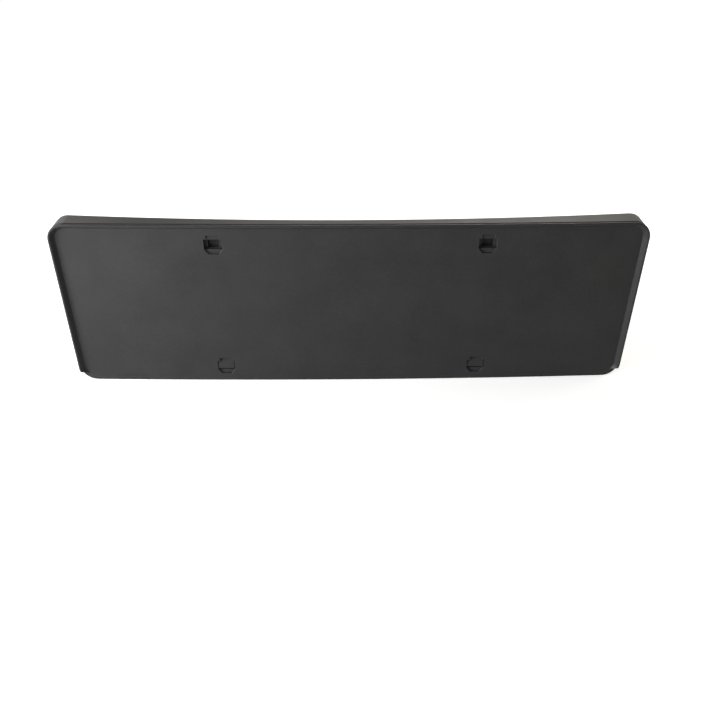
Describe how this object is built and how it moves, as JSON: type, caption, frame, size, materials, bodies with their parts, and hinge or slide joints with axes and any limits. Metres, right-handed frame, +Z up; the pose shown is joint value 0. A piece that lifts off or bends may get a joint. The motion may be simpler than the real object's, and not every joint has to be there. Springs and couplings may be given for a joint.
{
  "type": "number plate holder",
  "caption": "Shallow black plastic tray that holds a vehicle number plate in front of a bumper, bowed, with a raised rim on the top and both sides, fixing windows and a skirt cut to the bumper.",
  "frame": {"origin": "centre of the bumper fixing pattern, in the plane of the boss ends", "axes": "+X across the holder to the right as seen from in front, +Z up, the plate side faces -Y and the bumper is towards +Y"},
  "size_m": [0.4574, 0.0228, 0.143],
  "materials": {
    "moulding": "fine moulded grain, satin"
  },
  "bodies": {
    "root": {"plate_holder": "moulding"}
  },
  "joints": []
}
